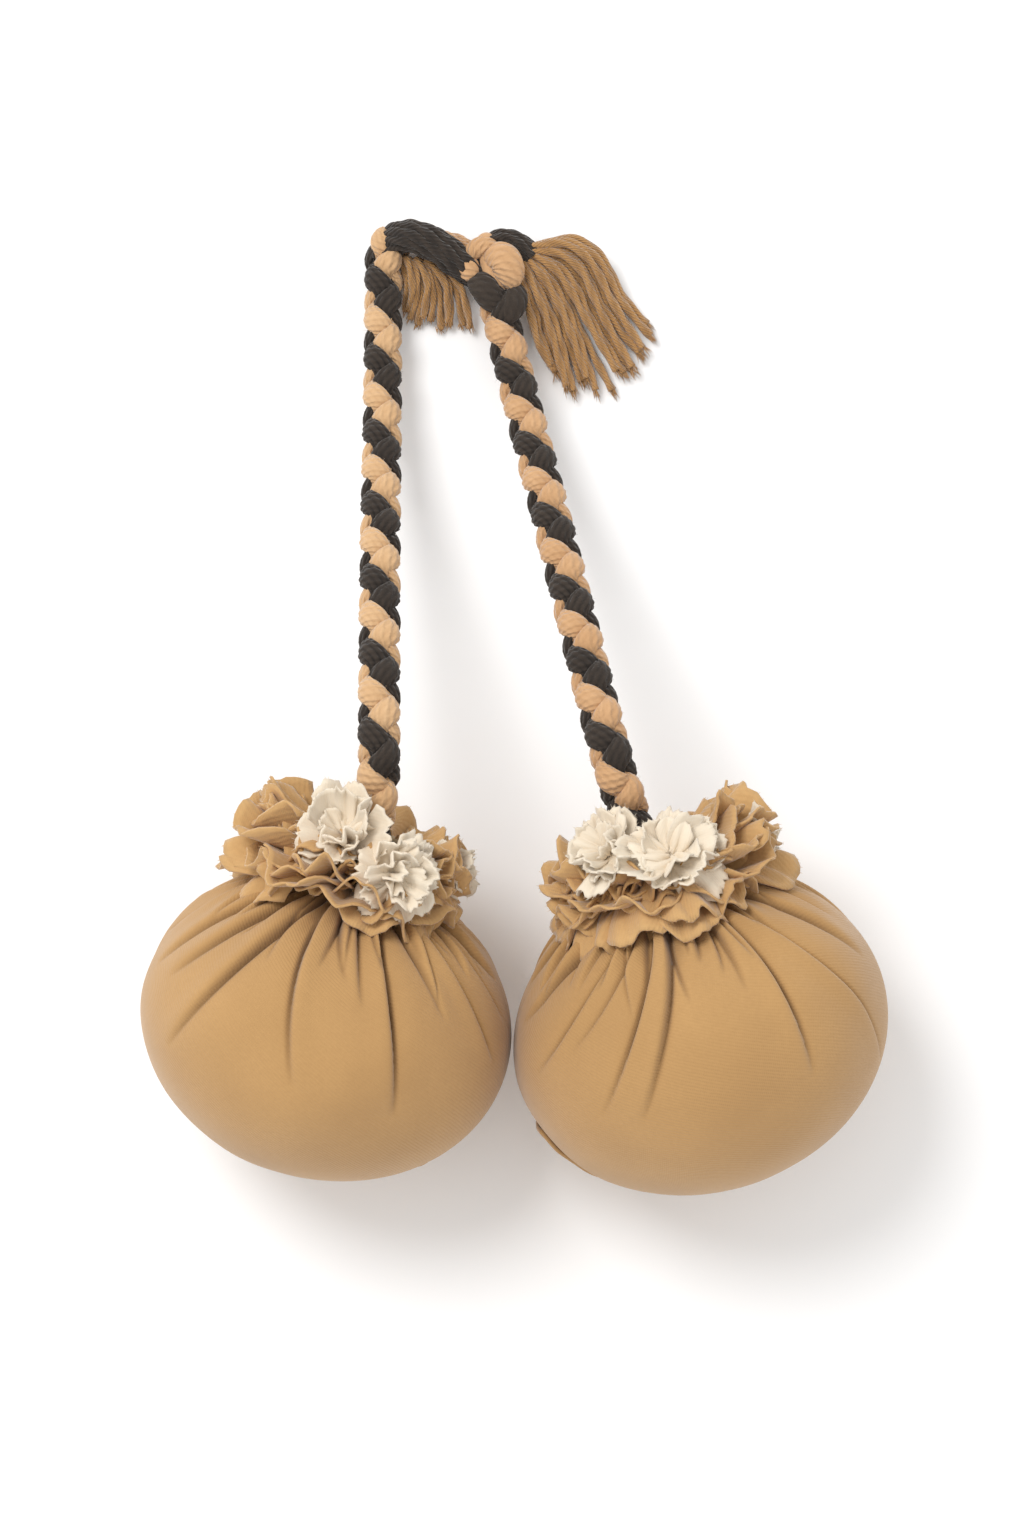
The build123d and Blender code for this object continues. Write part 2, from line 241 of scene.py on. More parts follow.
class Nodes:
    def __init__(self, name):
        self.material = bpy.data.materials.new(name)
        self.material.use_nodes = True
        self.tree = self.material.node_tree
        self.shader = self.tree.nodes["Principled BSDF"]

    def new(self, kind, inputs=None, **settings):
        node = self.tree.nodes.new(kind)
        for key, value in settings.items():
            setattr(node, key, value)
        for key, value in (inputs or {}).items():
            if isinstance(value, bpy.types.NodeSocket):
                self.tree.links.new(value, node.inputs[key])
            else:
                node.inputs[key].default_value = value
        return node

    def math(self, operation, a, b=0.0):
        return self.new("ShaderNodeMath", {0: a, 1: b}, operation=operation).outputs[0]

    def mix(self, factor, a, b):
        node = self.new("ShaderNodeMix", {0: factor, 6: a, 7: b}, data_type="RGBA")
        return node.outputs[2]

    def ramp(self, value, low, high):
        return self.new("ShaderNodeMapRange", {0: value, 1: low, 2: high, 3: 0.0, 4: 1.0}).outputs[0]

    def noise(self, vector, scale, detail=3.0):
        return self.new("ShaderNodeTexNoise", {"Vector": vector, "Scale": scale, "Detail": detail}).outputs[0]

    def link(self, a, b):
        self.tree.links.new(a, b)

    def waves(self, xyz, per_x, per_y, wobble=0.0):
        # a sine wave over the UV, so many radians to the metre each way
        across = self.math("MULTIPLY", xyz.outputs[0], per_x)
        down = self.math("MULTIPLY", xyz.outputs[1], per_y)
        return self.math("SINE", self.math("ADD", self.math("ADD", across, down), wobble))


def cloth(name, light, dark, painted_shade, pitch, angle, relief=0.00016, sheen=0.25):
    # woven cloth: ridges across the UV (metres), crossed by finer threads, with worn colour variation
    light, dark, painted_shade = lin(light), lin(dark), lin(painted_shade)
    m = Nodes(name)
    uv = m.new("ShaderNodeUVMap", uv_map="UVMap").outputs[0]
    xyz = m.new("ShaderNodeSeparateXYZ", {0: uv})
    place = m.new("ShaderNodeTexCoord").outputs["Object"]
    ca, sa = math.cos(math.radians(angle)), math.sin(math.radians(angle))
    ridges = 2 * math.pi / pitch
    threads = ridges / 0.62
    wobble = m.math("MULTIPLY", m.math("SUBTRACT", m.noise(place, 220.0, 2.0), 0.5), 3.0)
    ridge = m.waves(xyz, ca * ridges, sa * ridges, wobble)
    cross = m.waves(xyz, -sa * threads, ca * threads)
    weave = m.math("ADD", m.math("MULTIPLY", ridge, 0.36), m.math("MULTIPLY", cross, 0.14))
    # the threads run together at the ball's far end, so the weave fades in from there
    near_pole = m.ramp(xyz.outputs[1], 0.052, 0.075)
    weave = m.math("ADD", m.math("MULTIPLY", weave, near_pole), 0.5)
    broad = m.noise(place, 38.0, 4.0)
    fine = m.noise(place, 900.0, 2.0)
    colour = m.mix(m.math("MULTIPLY", m.ramp(broad, 0.35, 0.68), 0.5), light, dark)
    # painted shade in the grooves of the weave: the colour darkens where the ridges and threads are low
    colour = m.mix(m.math("MULTIPLY", m.math("SUBTRACT", 1.0, weave), 0.20), colour, dark)
    colour = m.mix(m.math("MULTIPLY", m.ramp(fine, 0.3, 0.75), 0.3), colour, dark)
    # painted shade: each vertex's shade amount darkens the colour towards the colour of full shade
    tone = m.new("ShaderNodeAttribute", attribute_name="tone").outputs["Fac"]
    colour = m.mix(m.new("ShaderNodeClamp", {0: tone}).outputs[0], colour, painted_shade)
    m.link(colour, m.shader.inputs["Base Color"])
    height = m.math("ADD", weave, m.math("MULTIPLY", fine, 0.7))
    bump = m.new("ShaderNodeBump", {"Height": height, "Distance": relief, "Strength": 0.8})
    m.link(bump.outputs[0], m.shader.inputs["Normal"])
    m.shader.inputs["Roughness"].default_value = 0.92
    m.shader.inputs["Sheen Weight"].default_value = sheen
    m.shader.inputs["Sheen Roughness"].default_value = 0.5
    return m.material


def wool(name, light, dark, painted_shade, sheen=0.35, ply=1.9):
    # plied wool: plies of this length (mm) slanting over the yarn, with fine fibres on them
    light, dark, painted_shade = lin(light), lin(dark), lin(painted_shade)
    m = Nodes(name)
    uv = m.new("ShaderNodeUVMap", uv_map="UVMap").outputs[0]
    xyz = m.new("ShaderNodeSeparateXYZ", {0: uv})
    place = m.new("ShaderNodeTexCoord").outputs["Object"]
    per_metre = 2 * math.pi / (ply * MM)
    wobble = m.math("MULTIPLY", m.math("SUBTRACT", m.noise(place, 700.0, 2.0), 0.5), 2.5)
    slanted = m.waves(xyz, per_metre * 1.1, per_metre, wobble)
    plies = m.math("ADD", m.math("MULTIPLY", slanted, 0.5), 0.5)
    fine = m.noise(place, 1500.0, 3.0)
    broad = m.noise(place, 130.0, 3.0)
    colour = m.mix(m.math("MULTIPLY", m.ramp(broad, 0.3, 0.7), 0.6), light, dark)
    # painted shade between the plies: the colour darkens where the plies are low
    colour = m.mix(m.math("MULTIPLY", m.math("SUBTRACT", 1.0, plies), 0.28), colour, dark)
    colour = m.mix(m.math("MULTIPLY", m.ramp(fine, 0.35, 0.7), 0.22), colour, dark)
    # painted shade: each vertex's shade amount darkens the colour towards the colour of full shade
    tone = m.new("ShaderNodeAttribute", attribute_name="tone").outputs["Fac"]
    colour = m.mix(m.new("ShaderNodeClamp", {0: tone}).outputs[0], colour, painted_shade)
    m.link(colour, m.shader.inputs["Base Color"])
    height = m.math("ADD", plies, m.math("MULTIPLY", fine, 0.6))
    bump = m.new("ShaderNodeBump", {"Height": height, "Distance": 0.0003, "Strength": 0.9})
    m.link(bump.outputs[0], m.shader.inputs["Normal"])
    m.shader.inputs["Roughness"].default_value = 0.95
    m.shader.inputs["Sheen Weight"].default_value = sheen
    m.shader.inputs["Sheen Roughness"].default_value = 0.45
    return m.material


# the third colour of each material is the colour of full painted shade
TWILL = cloth("tan_twill", (208, 162, 103), (187, 143, 89), (88, 55, 25), 0.00085, -62, relief=0.00009)
PETAL = cloth("tan_petals", (228, 183, 122), (204, 158, 102), (132, 86, 44), 0.00085, 20, relief=0.0001,
              sheen=0.35)
CREAM = cloth("cream_cotton", (255, 243, 221), (255, 234, 207), (228, 196, 156), 0.0006, 10, relief=0.00005)
MUSLIN = cloth("muslin", (232, 218, 192), (214, 198, 168), (170, 150, 118), 0.0012, 0)
DARK = wool("dark_wool", (74, 62, 52), (46, 37, 30), (17, 13, 10), sheen=0.14)
TAN_L = wool("light_wool_left", (240, 198, 150), (222, 176, 126), (160, 112, 66))
TAN_R = wool("light_wool_right", (233, 186, 138), (212, 163, 114), (150, 102, 60))
CARAMEL = wool("caramel_wool", (214, 163, 103), (184, 134, 76), (112, 72, 32), ply=1.5)
STRING = wool("string", (225, 204, 168), (200, 176, 138), (150, 124, 86), ply=0.8)


def dried_herbs():
    m = Nodes("herbs")
    place = m.new("ShaderNodeTexCoord").outputs["Object"]
    cell = m.new("ShaderNodeTexVoronoi", {"Vector": place, "Scale": 420.0})
    colour = m.mix(m.ramp(m.noise(place, 160.0, 4.0), 0.3, 0.7), lin((128, 112, 66)), lin((92, 70, 40)))
    colour = m.mix(m.math("MULTIPLY", cell.outputs["Distance"], 0.8), colour, lin((168, 150, 98)))
    m.link(colour, m.shader.inputs["Base Color"])
    bump = m.new("ShaderNodeBump", {"Height": cell.outputs["Distance"], "Distance": 0.0008, "Strength": 0.9})
    m.link(bump.outputs[0], m.shader.inputs["Normal"])
    m.shader.inputs["Roughness"].default_value = 0.95
    return m.material


HERBS = dried_herbs()
# what the CAD nodes are made of, by the end of their names
NODE_MATERIALS = {"liner": MUSLIN, "herb_fill": HERBS, "stopper_knot": TAN_L, "neck_binding": STRING,
                  "hem_stitch": CREAM, "cord_end": TAN_R, "hem": TWILL}
for node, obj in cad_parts.items():
    if getattr(obj, "data", None) is None:
        continue
    for ending, material in NODE_MATERIALS.items():
        if node.endswith(ending):
            obj.data.materials.clear()
            obj.data.materials.append(material)
            break


# ---- the stuffed covers --------------------------------------------------------------------
COLS, ROWS, NECK_ROWS = 720, 150, 12
NECK_RADIUS, NECK_START, NECK_TOP = 9.4, 41.0, 47.0
FOLD_TOP = 37.0
GATHERS = 34
LINER_GAP = 0.6
HEM_CLOTH = 0.0004
# how far the cloth stays over the table, and how softly it comes down to it
CLEAR, SOFTNESS = 0.25, 0.65

# gathers: turn at the neck, turn at the far end (degrees), where it ends (mm along the neck
# axis), depth, width (mm), and which side of the fold lies on top
LEFT_FOLDS = [(116, 140, -6, 3.0, 2.2, 1), (106, 92, -3, 2.8, 2.0, -1), (69, 60, -6, 3.6, 2.1, 1),
              (38, 20, 6, 3.2, 2.2, 1), (131, 150, 10, 2.6, 2.4, 1), (146, 163, 9, 2.4, 2.4, 1),
              (94, 82, 24, 2.0, 1.6, -1), (10, 0, 22, 2.4, 2.4, -1), (82, 76, 20, 2.2, 1.6, 1),
              (54, 44, 18, 2.2, 1.8, -1), (22, 8, 14, 2.0, 2.0, 1), (165, 178, 14, 2.4, 2.4, -1)]
RIGHT_FOLDS = [(124, 158, 10, 3.2, 2.2, -1), (102, 131, 0, 3.4, 2.0, -1), (93, 119, -3, 3.0, 1.8, 1),
               (79, 85, 29, 2.6, 1.6, 1), (61, 65, -6, 3.4, 2.1, 1), (52, 24, -18, 3.0, 2.2, 1),
               (34, 20, 10, 2.4, 2.4, -1), (148, 172, 20, 2.6, 2.2, 1), (112, 140, 16, 2.0, 1.7, -1),
               (70, 74, 20, 2.0, 1.5, -1), (16, 4, 16, 2.2, 2.2, 1), (172, 186, 18, 2.4, 2.2, -1)]


def profile(a, b):
    # the ball's latitudes, and its radius and place along the neck axis from the far end into the neck
    latitude = np.radians(np.linspace(-89.9, 60, ROWS - NECK_ROWS))
    r = a * np.cos(latitude)
    t = b * np.sin(latitude)
    neck_t = np.linspace(t[-1], NECK_TOP, NECK_ROWS + 1)[1:]
    share = (neck_t - t[-1]) / (NECK_START - t[-1])
    slack = (1 - np.clip(share, 0, 1)) ** 1.35
    neck_r = np.where(share < 1, NECK_RADIUS + (r[-1] - NECK_RADIUS) * slack, NECK_RADIUS)
    return latitude, np.concatenate([r, neck_r]), np.concatenate([t, neck_t])


def all_folds(folds, rng):
    # the folds given, then others on the underside, then fine gathers all round the neck
    found = list(folds)
    angle = 190.0
    while angle < 355:
        found.append((angle, angle + rng.uniform(-10, 10), rng.uniform(2, 26), rng.uniform(1.8, 3.0),
                      rng.uniform(1.6, 2.4), rng.choice([-1, 1])))
        angle += rng.uniform(13, 22)
    for k in range(GATHERS):
        place = k * 360 / GATHERS
        found.append((place + rng.uniform(-4, 4), place + rng.uniform(-7, 7), rng.uniform(20, 31),
                      rng.uniform(1.3, 2.3), rng.uniform(1.0, 1.6), rng.choice([-1, 1])))
    return found


def crumple(T, PHI, R, folds, seed):
    # how far out each point of the cloth is pushed (mm), and how much painted shade it gets for lying far
    # down in a crease
    push = np.zeros_like(T)
    tone = np.zeros_like(T)
    for neck_turn, end_turn, end_t, depth, width, over in all_folds(folds, np.random.default_rng(seed)):
        f = np.clip((T - end_t) / (FOLD_TOP - end_t), 0, 1.25)
        share = np.clip(f, 0, 1)
        centre_turn = np.radians(end_turn + (neck_turn - end_turn) * share ** 0.85)
        away = (PHI - centre_turn + math.pi) % (2 * math.pi) - math.pi
        x = away * R * over
        strength = depth * share ** 0.75 * np.clip(1.25 - 0.35 * f, 0, 1)
        w = width * (1.35 - 0.45 * share)
        # the fold's rounded lip stands above a sharp crease; the cloth runs away smoothly from both
        rounded = np.exp(-((x - 0.75 * w) / (1.5 * w)) ** 2) * np.clip(x / (0.35 * w), 0, 1)
        lip = np.where(x > 0, rounded, 0)
        crease = np.exp(-(x / (0.42 * w)) ** 2)
        slope = np.where(x < 0, np.exp(-(x / (1.6 * w)) ** 2), 0)
        drop = -0.75 * crease - 0.45 * slope
        push += strength * (0.66 * lip + drop) * 0.78
        # painted shade along the bottom of each crease
        tone += np.clip(strength / 2.2, 0, 1) * np.exp(-((x + 0.1 * w) / (0.30 * w)) ** 2) * 0.8
    # slack, soft lumps of the filling, strongest round the ball's middle
    lump = (np.sin(3 * PHI + 1.3 + seed) * np.cos(T / 13.0) + 0.7 * np.sin(5 * PHI + 0.4 * seed + T / 9.0)
            + 0.5 * np.sin(8 * PHI + T / 6.0 + seed))
    push += 0.34 * lump * np.clip(1 - np.abs(T) / 46, 0, 1)
    # small even pleats where the cloth enters the neck
    push += np.clip((T - 30) / 12, 0, 1) * 0.7 * np.sin(26 * PHI)
    push = np.where(T > NECK_START, np.clip(push, -1.2, 1.2), push)
    return np.clip(push, -2.1, 2.4), np.clip(tone, 0, 0.85)


def bowl(grid, uv, tone):
    # a shell open at the neck: rows of points round the neck axis, the first row closed at its middle
    rows, cols = grid.shape[:2]
    bottom = [(rows * cols, (j + 1) % cols, j) for j in range(cols)]
    mesh = Mesh()
    mesh.add(np.concatenate([grid.reshape(-1, 3), [grid[0].mean(0)]]), grid_faces(rows, cols, True) + bottom,
             np.concatenate([uv.reshape(-1, 2), [[0, 0]]]), np.concatenate([tone.ravel(), [0]]))
    return mesh


def liner(data, pos, normal, uv):
    # the muslin liner follows the folds of the cover just inside it
    inner = (pos - LINER_GAP * normal)[:-NECK_ROWS]
    mesh = bowl(inner, uv[:-NECK_ROWS], np.zeros(inner.shape[:2]))
    obj = mesh.build(data["name"] + "_liner_cloth", [MUSLIN])
    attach(obj, data["body"])
    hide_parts(data["name"] + "_liner")


def turned_hem(data, hem, latitude, turn, pos, normal, uv):
    # a turned hem: a strip of the same cloth lying on the cover, between two latitudes and two
    # turns round the neck axis (degrees)
    low, high, first, last = hem
    past = [(math.degrees(v) - first) % 360 for v in turn]
    rows_in = [i for i, v in enumerate(latitude) if low <= math.degrees(v) <= high]
    cols_in = sorted((j for j in range(COLS) if past[j] + first <= last), key=lambda j: past[j])
    inside = np.ix_(rows_in, cols_in)
    pu = np.linspace(-1, 1, len(rows_in))[:, None]
    pv = np.linspace(-1, 1, len(cols_in))[None, :]
    rim = np.clip(12 * (1 - np.abs(pv)), 0, 1) ** 0.5 * np.clip(22 * (1 - np.abs(pu)), 0, 1) ** 0.5
    lift = 0.15 + 0.95 * rim + 0.12 * np.sin(9 * pu + 3 * pv)
    patch = pos[inside] + normal[inside] * lift[..., None]
    patch[..., 2] = np.maximum(patch[..., 2], 0.3)
    strip = Mesh()
    # painted shade along the strip's edges, where it lies low on the cover
    strip.add(patch, grid_faces(len(rows_in), len(cols_in), False), uv[inside] * (1, 0.8) + (9, 28),
              (1 - rim) * 0.5)
    obj = strip.build(data["name"] + "_hem_cloth", [TWILL])
    solidify(obj, HEM_CLOTH)
    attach(obj, data["body"])
    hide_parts(data["name"] + "_hem")


def cover(data, folds, seed, hem):
    centre, side, up, neck = axes(data)
    a = data["a"]
    latitude, r, t = profile(a, data["b"])
    run = np.concatenate([[0], np.cumsum(np.hypot(np.diff(r), np.diff(t)))])
    # outward normal of the profile
    dr, dt = np.gradient(r), np.gradient(t)
    nr, nt = dt / np.hypot(dr, dt), -dr / np.hypot(dr, dt)
    turn = np.linspace(-math.pi / 2, 1.5 * math.pi, COLS, endpoint=False)
    T, PHI = np.meshgrid(t, turn, indexing="ij")
    R = np.repeat(r[:, None], COLS, 1)
    push, tone = crumple(T, PHI, R, folds, seed)
    radius = R + push * nr[:, None]
    height = T + push * nt[:, None]
    dirs = side * np.cos(PHI)[..., None] + up * np.sin(PHI)[..., None]
    pos = centre + dirs * radius[..., None] + neck * height[..., None]
    # it lies flat on the table, and bulges a little just above it
    bulge = np.exp(-((pos[..., 2] - 5) / 6) ** 2) * 0.8 * np.clip(1 - np.abs(T) / 60, 0, 1)
    pos = pos + dirs * bulge[..., None]
    z = pos[..., 2]
    soft_from = CLEAR + SOFTNESS
    sunk = CLEAR + SOFTNESS * np.exp((np.minimum(z, soft_from) - soft_from) / SOFTNESS)
    pos[..., 2] = np.where(z < soft_from, sunk, z)
    uv = np.stack([a * PHI, np.repeat(run[:, None], COLS, 1) + 40], -1)
    obj = bowl(pos, uv, tone).build(data["name"] + "_cover_cloth", [TWILL])
    # the last column of faces runs on past the first one's start
    layer = obj.data.uv_layers["UVMap"].data
    flat = np.zeros(len(layer) * 2, np.float32)
    layer.foreach_get("uv", flat)
    quads = flat[:(ROWS - 1) * COLS * 8].reshape(ROWS - 1, COLS, 4, 2)
    quads[:, -1, 1:3, 0] += 2 * math.pi * a * MM
    layer.foreach_set("uv", flat)
    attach(obj, data["body"])
    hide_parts(data["name"] + "_cover")
    normal = unit(np.cross(np.gradient(pos, axis=0), np.gradient(pos, axis=1)))
    normal *= np.sign(np.sum(normal * (pos - centre), -1).mean())
    liner(data, pos, normal, uv)
    turned_hem(data, hem, latitude, turn, pos, normal, uv)


cover(LEFT, LEFT_FOLDS, 3, (-62, -44, -6, 8))
cover(RIGHT, RIGHT_FOLDS, 8, (-54, -14, 176, 188))


# ---- petals --------------------------------------------------------------------------------
def petal(mesh, fibres, rng, root, out, axis, length, width, lift, curl, wave, twist, fray, fold,
          tone=0.0, pinch=0.42, teeth=0.02):
    # a gathered leaf of cloth: pinched at the root, waved and frayed along its outer edge
    rows, cols = 12, 21
    across = np.cross(axis, out)
    p = np.linspace(0, 1, rows)[:, None]
    q = np.linspace(-1, 1, cols)[None, :]
    edge = (1 - 0.26 * q ** 4 - 0.08 * q ** 2 + 0.03 * np.sin(6 * q + rng.uniform(0, 6))
            + 0.015 * np.sin(17 * q + rng.uniform(0, 6)) + teeth * rng.uniform(-1, 1, (1, cols)))
    a0, a1 = rng.uniform(0, 6.28), rng.uniform(0, 6.28)
    reach = length * p * edge
    spread = width * 0.5 * q * (pinch + (1 - pinch) * p ** 0.6)
    bend = np.radians(lift) + np.radians(curl) * p ** 1.5
    x = reach * np.cos(bend)
    z = reach * np.sin(bend)
    waves = wave * p ** 0.8 * (np.sin(3.6 * q + a0) + 0.55 * np.sin(7.4 * q + a1 + 1.5 * p))
    waves = waves + fold * p * np.abs(q) ** 1.3 * width * 0.25 + wave * 0.6 * (1 - p) * np.sin(9 * q + a0)
    waves = waves + np.radians(twist) * spread
    normal_x, normal_z = -np.sin(bend), np.cos(bend)
    pos = (root + out * (x + waves * normal_x)[..., None] + axis * (z + waves * normal_z)[..., None]
           + across * spread[..., None])
    uv = np.stack(np.broadcast_arrays(spread + rng.uniform(0, 40), reach + rng.uniform(80, 120)), -1)
    # painted shade towards the root, where the petals gather in; the shade amount argument shifts it
    painted_shade = np.clip(np.repeat(0.4 * (1 - p) ** 1.4, cols, 1) + tone, 0, 1)
    mesh.add(pos, grid_faces(rows, cols, False), uv, painted_shade)
    for _ in range(fray):
        j = rng.integers(1, cols - 1)
        f = rng.uniform(0, 1)
        tip = pos[-1, j] * (1 - f) + pos[-1, min(j + 1, cols - 1)] * f
        away = unit(pos[-1, j] - pos[-3, j]) + 0.55 * across * rng.normal() + 0.25 * axis * rng.normal()
        fibre(fibres, tip, away, rng.uniform(0.4, 1.1), rng, radius=0.06, bend=0.4)


# each tier is a strip of cloth 24 mm wide, drawn up on a thread: its name, its length in metres, where
# it leaves the neck, its petals' length and width (mm), lift and curl (degrees), and their waves (mm)
TIERS = [("lower", 0.54, 42.5, 23.5, 19, -3, -8, 2.7),
         ("middle", 0.46, 46.0, 22.5, 18, 4, -2, 2.9),
         ("upper", 0.38, 48.0, 19.0, 17, 7, 2, 2.9)]
PETALS = 15
# how far from the neck axis a petal starts (mm), and the thickness of the cloth (m)
ROOT_RADIUS = 9.6
RUFFLE_CLOTH, ROSETTE_CLOTH = 0.00062, 0.0005
# loose fibres on the edge of each petal
RUFFLE_FRAY, ROSETTE_FRAY = 14, 20


def ruffles(data, seed, bias, flowers):
    # three gathered tiers, two layers of petals each; bias makes the ring reach further to one side,
    # and the two upper tiers are shorter where a flower lies on them, at the turns in flowers
    centre, side, up, neck = axes(data)
    name = data["name"]
    rng = np.random.default_rng(seed)
    for label, strip, t, length, width, lift, curl, wave in TIERS:
        mesh, fibres = Mesh(), Mesh()
        for layer in range(2):
            for i in range(PETALS):
                turn = math.radians(360 * (i + 0.5 * layer + rng.uniform(-0.25, 0.25)) / PETALS)
                out = side * math.cos(turn) + up * math.sin(turn)
                root = centre + neck * (t + 1.8 * layer + rng.uniform(-0.6, 0.6))
                root = root + out * ROOT_RADIUS
                reach = length * rng.uniform(0.82, 1.05) * (1 + bias * math.cos(turn))
                behind = max(-math.sin(turn), 0)
                reach *= 1 - 0.28 * behind
                if label != "lower":
                    near = min(abs((math.degrees(turn) - g + 180) % 360 - 180) for g in flowers)
                    reach *= 1 - 0.42 * math.exp(-(near / 24) ** 2)
                petal(mesh, fibres, rng, root, out, neck, reach, width * rng.uniform(0.85, 1.2),
                      lift + 3 * layer - 14 * behind + rng.uniform(-5, 5),
                      curl + rng.uniform(-26, 18 if label == "upper" else 26),
                      wave * rng.uniform(0.6, 1.2), rng.uniform(-16, 16), RUFFLE_FRAY,
                      rng.uniform(-0.7, 0.9))
        obj = mesh.build(name + "_ruffle_" + label + "_cloth", [PETAL])
        solidify(obj, RUFFLE_CLOTH)
        loose = fibres.build(name + "_ruffle_" + label + "_fray", [PETAL])
        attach(obj, data["body"])
        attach(loose, data["body"])
        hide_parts(name + "_ruffle_" + label)


def rosette(data, key, turn, radius, t, lean, size, count, seed):
    # a flower of folded cream cloth, three layers of petals on its own leaning axis
    centre, side, up, neck = axes(data)
    name = data["name"]
    rng = np.random.default_rng(seed)
    a = math.radians(turn)
    spoke = side * math.cos(a) + up * math.sin(a)
    lean_a = math.radians(lean)
    head = unit(spoke * math.sin(lean_a) + neck * math.cos(lean_a))
    base = centre + neck * t + spoke * radius
    e1 = unit(np.cross(head, neck) + 1e-6)
    e2 = np.cross(head, e1)
    mesh, fibres = Mesh(), Mesh()
    for layer in range(3):
        number = count - layer
        for i in range(number):
            b = 2 * math.pi * (i + 0.4 * layer + rng.uniform(-0.2, 0.2)) / number
            out = e1 * math.cos(b) + e2 * math.sin(b)
            root = base + out * 0.6 + head * 0.5 * layer
            length = size * (1.0 - 0.10 * layer) * rng.uniform(0.75, 1.15)
            # these petals get less painted shade at the root
            petal(mesh, fibres, rng, root, out, head, length, length * 1.05,
                  6 + 20 * layer + rng.uniform(-12, 12), 6 + rng.uniform(-26, 26),
                  1.5 * rng.uniform(0.5, 1.2), rng.uniform(-26, 26), ROSETTE_FRAY,
                  rng.uniform(-0.5, 0.6), tone=-0.35, pinch=0.26, teeth=0.07)
    obj = mesh.build(name + "_rosette_" + key + "_cloth", [CREAM])
    solidify(obj, ROSETTE_CLOTH)
    loose = fibres.build(name + "_rosette_" + key + "_fray", [CREAM])
    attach(obj, data["body"])
    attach(loose, data["body"])
    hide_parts(name + "_rosette_" + key)


ruffles(LEFT, 21, -0.17, (112, 66))
ruffles(RIGHT, 22, 0.2, (74, 122))
rosette(LEFT, "front", 110, 17.0, 54.0, 46, 12.6, 6, 31)
rosette(LEFT, "side", 66, 24.0, 50.0, 72, 11.0, 6, 32)
rosette(LEFT, "back", -6, 22.0, 47.0, 66, 8.5, 5, 33)
rosette(RIGHT, "front", 74, 20.0, 53.0, 54, 13.2, 6, 34)
rosette(RIGHT, "side", 124, 15.0, 57.0, 42, 11.0, 6, 35)
rosette(RIGHT, "back", 2, 28.0, 46.0, 66, 8.5, 5, 36)


# ---- braided cords -------------------------------------------------------------------------
BRAID_YARNS, BRAID_SIDES = 11, 55
STRAND_THICK, STRAND_WIDE = 2.16, 3.42
# how far round the strands are: turns at y = 0, turns per mm, and how the lay opens towards the knot
LEFT_LAY = (1.85, 0.0471, -2.0e-5)
RIGHT_LAY = (1.895, 0.0495, -3.6e-5)
# the right cord runs aslant, so one mm along it is this much of a mm up the table
RIGHT_SLANT = 0.973


def join(target, other):
    with bpy.context.temp_override(active_object=target, object=target, selected_objects=[target, other],
                                   selected_editable_objects=[target, other]):
        bpy.ops.object.join()


def around_section(sides):
    return np.linspace(0, 2 * math.pi, sides, endpoint=False)[None, :]


